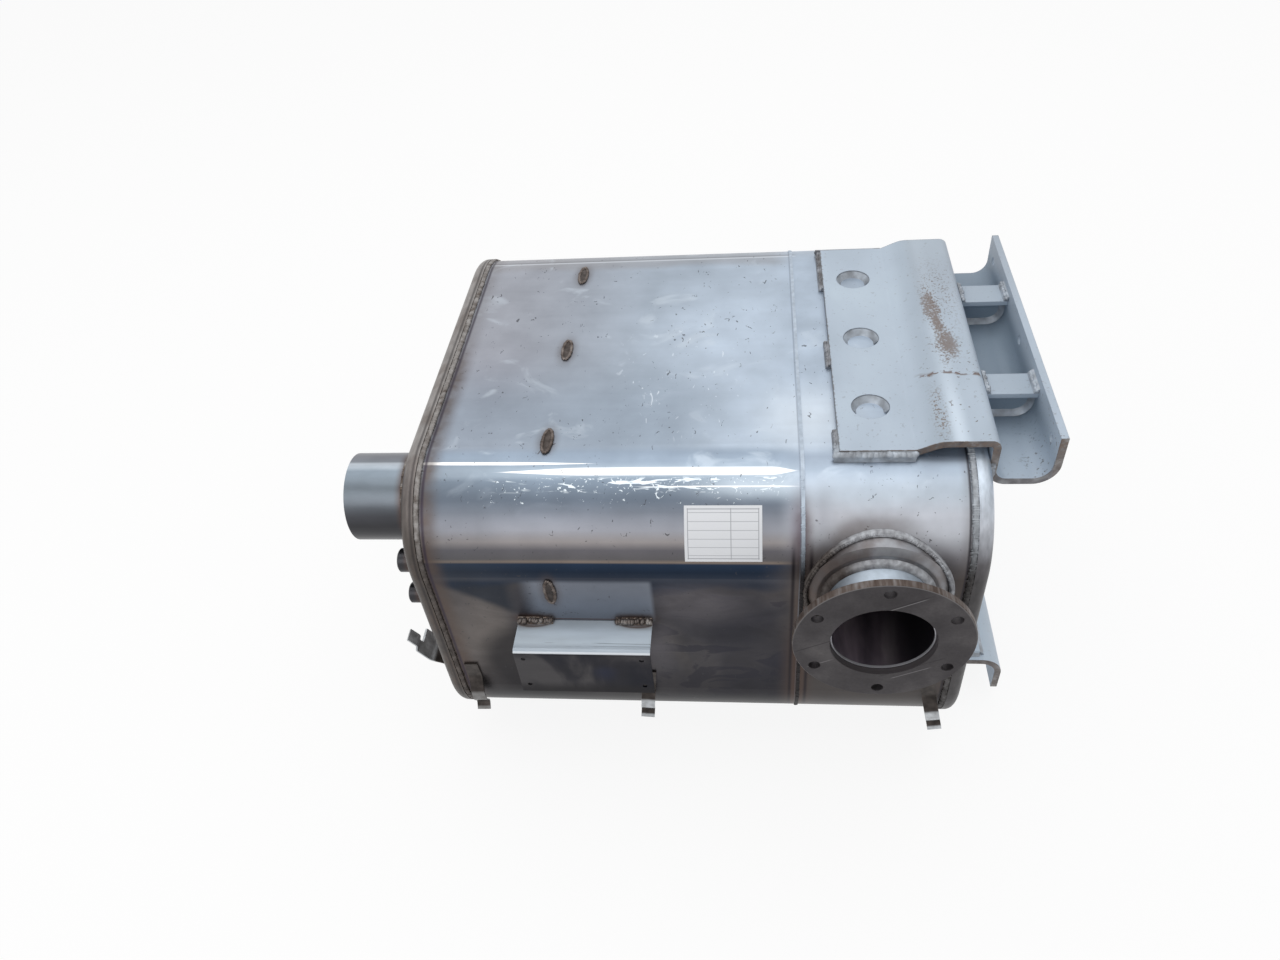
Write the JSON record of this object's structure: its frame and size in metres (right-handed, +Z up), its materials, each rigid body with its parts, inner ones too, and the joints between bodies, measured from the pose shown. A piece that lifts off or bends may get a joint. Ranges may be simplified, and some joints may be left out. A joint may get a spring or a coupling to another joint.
{
  "type": "catalytic muffler",
  "caption": "Welded stainless exhaust muffler box with catalyst bricks inside, a flanged inlet, a plain outlet pipe and folded mounting plates above and below",
  "frame": {"origin": "centre of the inlet flange's outer face, where the exhaust pipe from the engine bolts on", "axes": "X along the body, from the outlet pipe (-X) to the mounting plates (+X); -Y out of the inlet flange; Z up, with one mounting plate on top and one below"},
  "size_m": [0.781, 0.6428, 0.4615],
  "materials": {
    "stainless_sheet": "mill-finish sheet, dulled by handling and heat",
    "stainless_pipe": "drawn tube",
    "turned_steel": "turned",
    "flange_steel": "faced, with rust on the rim",
    "weld_metal": "as welded",
    "bracket_paint": "thin blue-grey paint, rust at the cut edges",
    "fibre_mat": "ceramic fibre",
    "ceramic_brick": "bare honeycomb ceramic",
    "label_paper": "white film, ruled but blank"
  },
  "bodies": {
    "root": {"shell_main": "stainless_sheet", "shell_inlet": "stainless_sheet", "end_cap_outlet": "stainless_sheet", "end_cap_inlet": "stainless_sheet", "baffle_outlet": "stainless_sheet", "baffle_inlet": "stainless_sheet", "catalyst_cans": "stainless_sheet", "catalyst_mats": "fibre_mat", "catalyst_bricks": "ceramic_brick", "outlet_pipe": "stainless_pipe", "outlet_weld": "weld_metal", "sensor_boss_upper": "turned_steel", "sensor_boss_lower": "turned_steel", "boss_welds": "weld_metal", "inlet_flange": "flange_steel", "inlet_pipe": "stainless_pipe", "inlet_collar": "stainless_sheet", "collar_foot_weld": "weld_metal", "collar_neck_weld": "weld_metal", "bracket_top": "bracket_paint", "bracket_top_bars": "bracket_paint", "bracket_top_ribs": "bracket_paint", "bracket_top_welds": "weld_metal", "bracket_bottom": "bracket_paint", "bracket_bottom_bars": "bracket_paint", "bracket_bottom_ribs": "bracket_paint", "bracket_bottom_welds": "weld_metal", "front_bracket": "stainless_sheet", "front_bracket_welds": "weld_metal", "front_hooks": "stainless_sheet", "end_hook": "stainless_sheet", "seam_weld_outlet": "weld_metal", "seam_weld_inlet": "weld_metal", "joint_weld": "weld_metal", "plug_welds": "weld_metal", "label": "label_paper", "bracket_bottom_strip": "bracket_paint", "bracket_bottom_strip_welds": "weld_metal"}
  },
  "joints": []
}
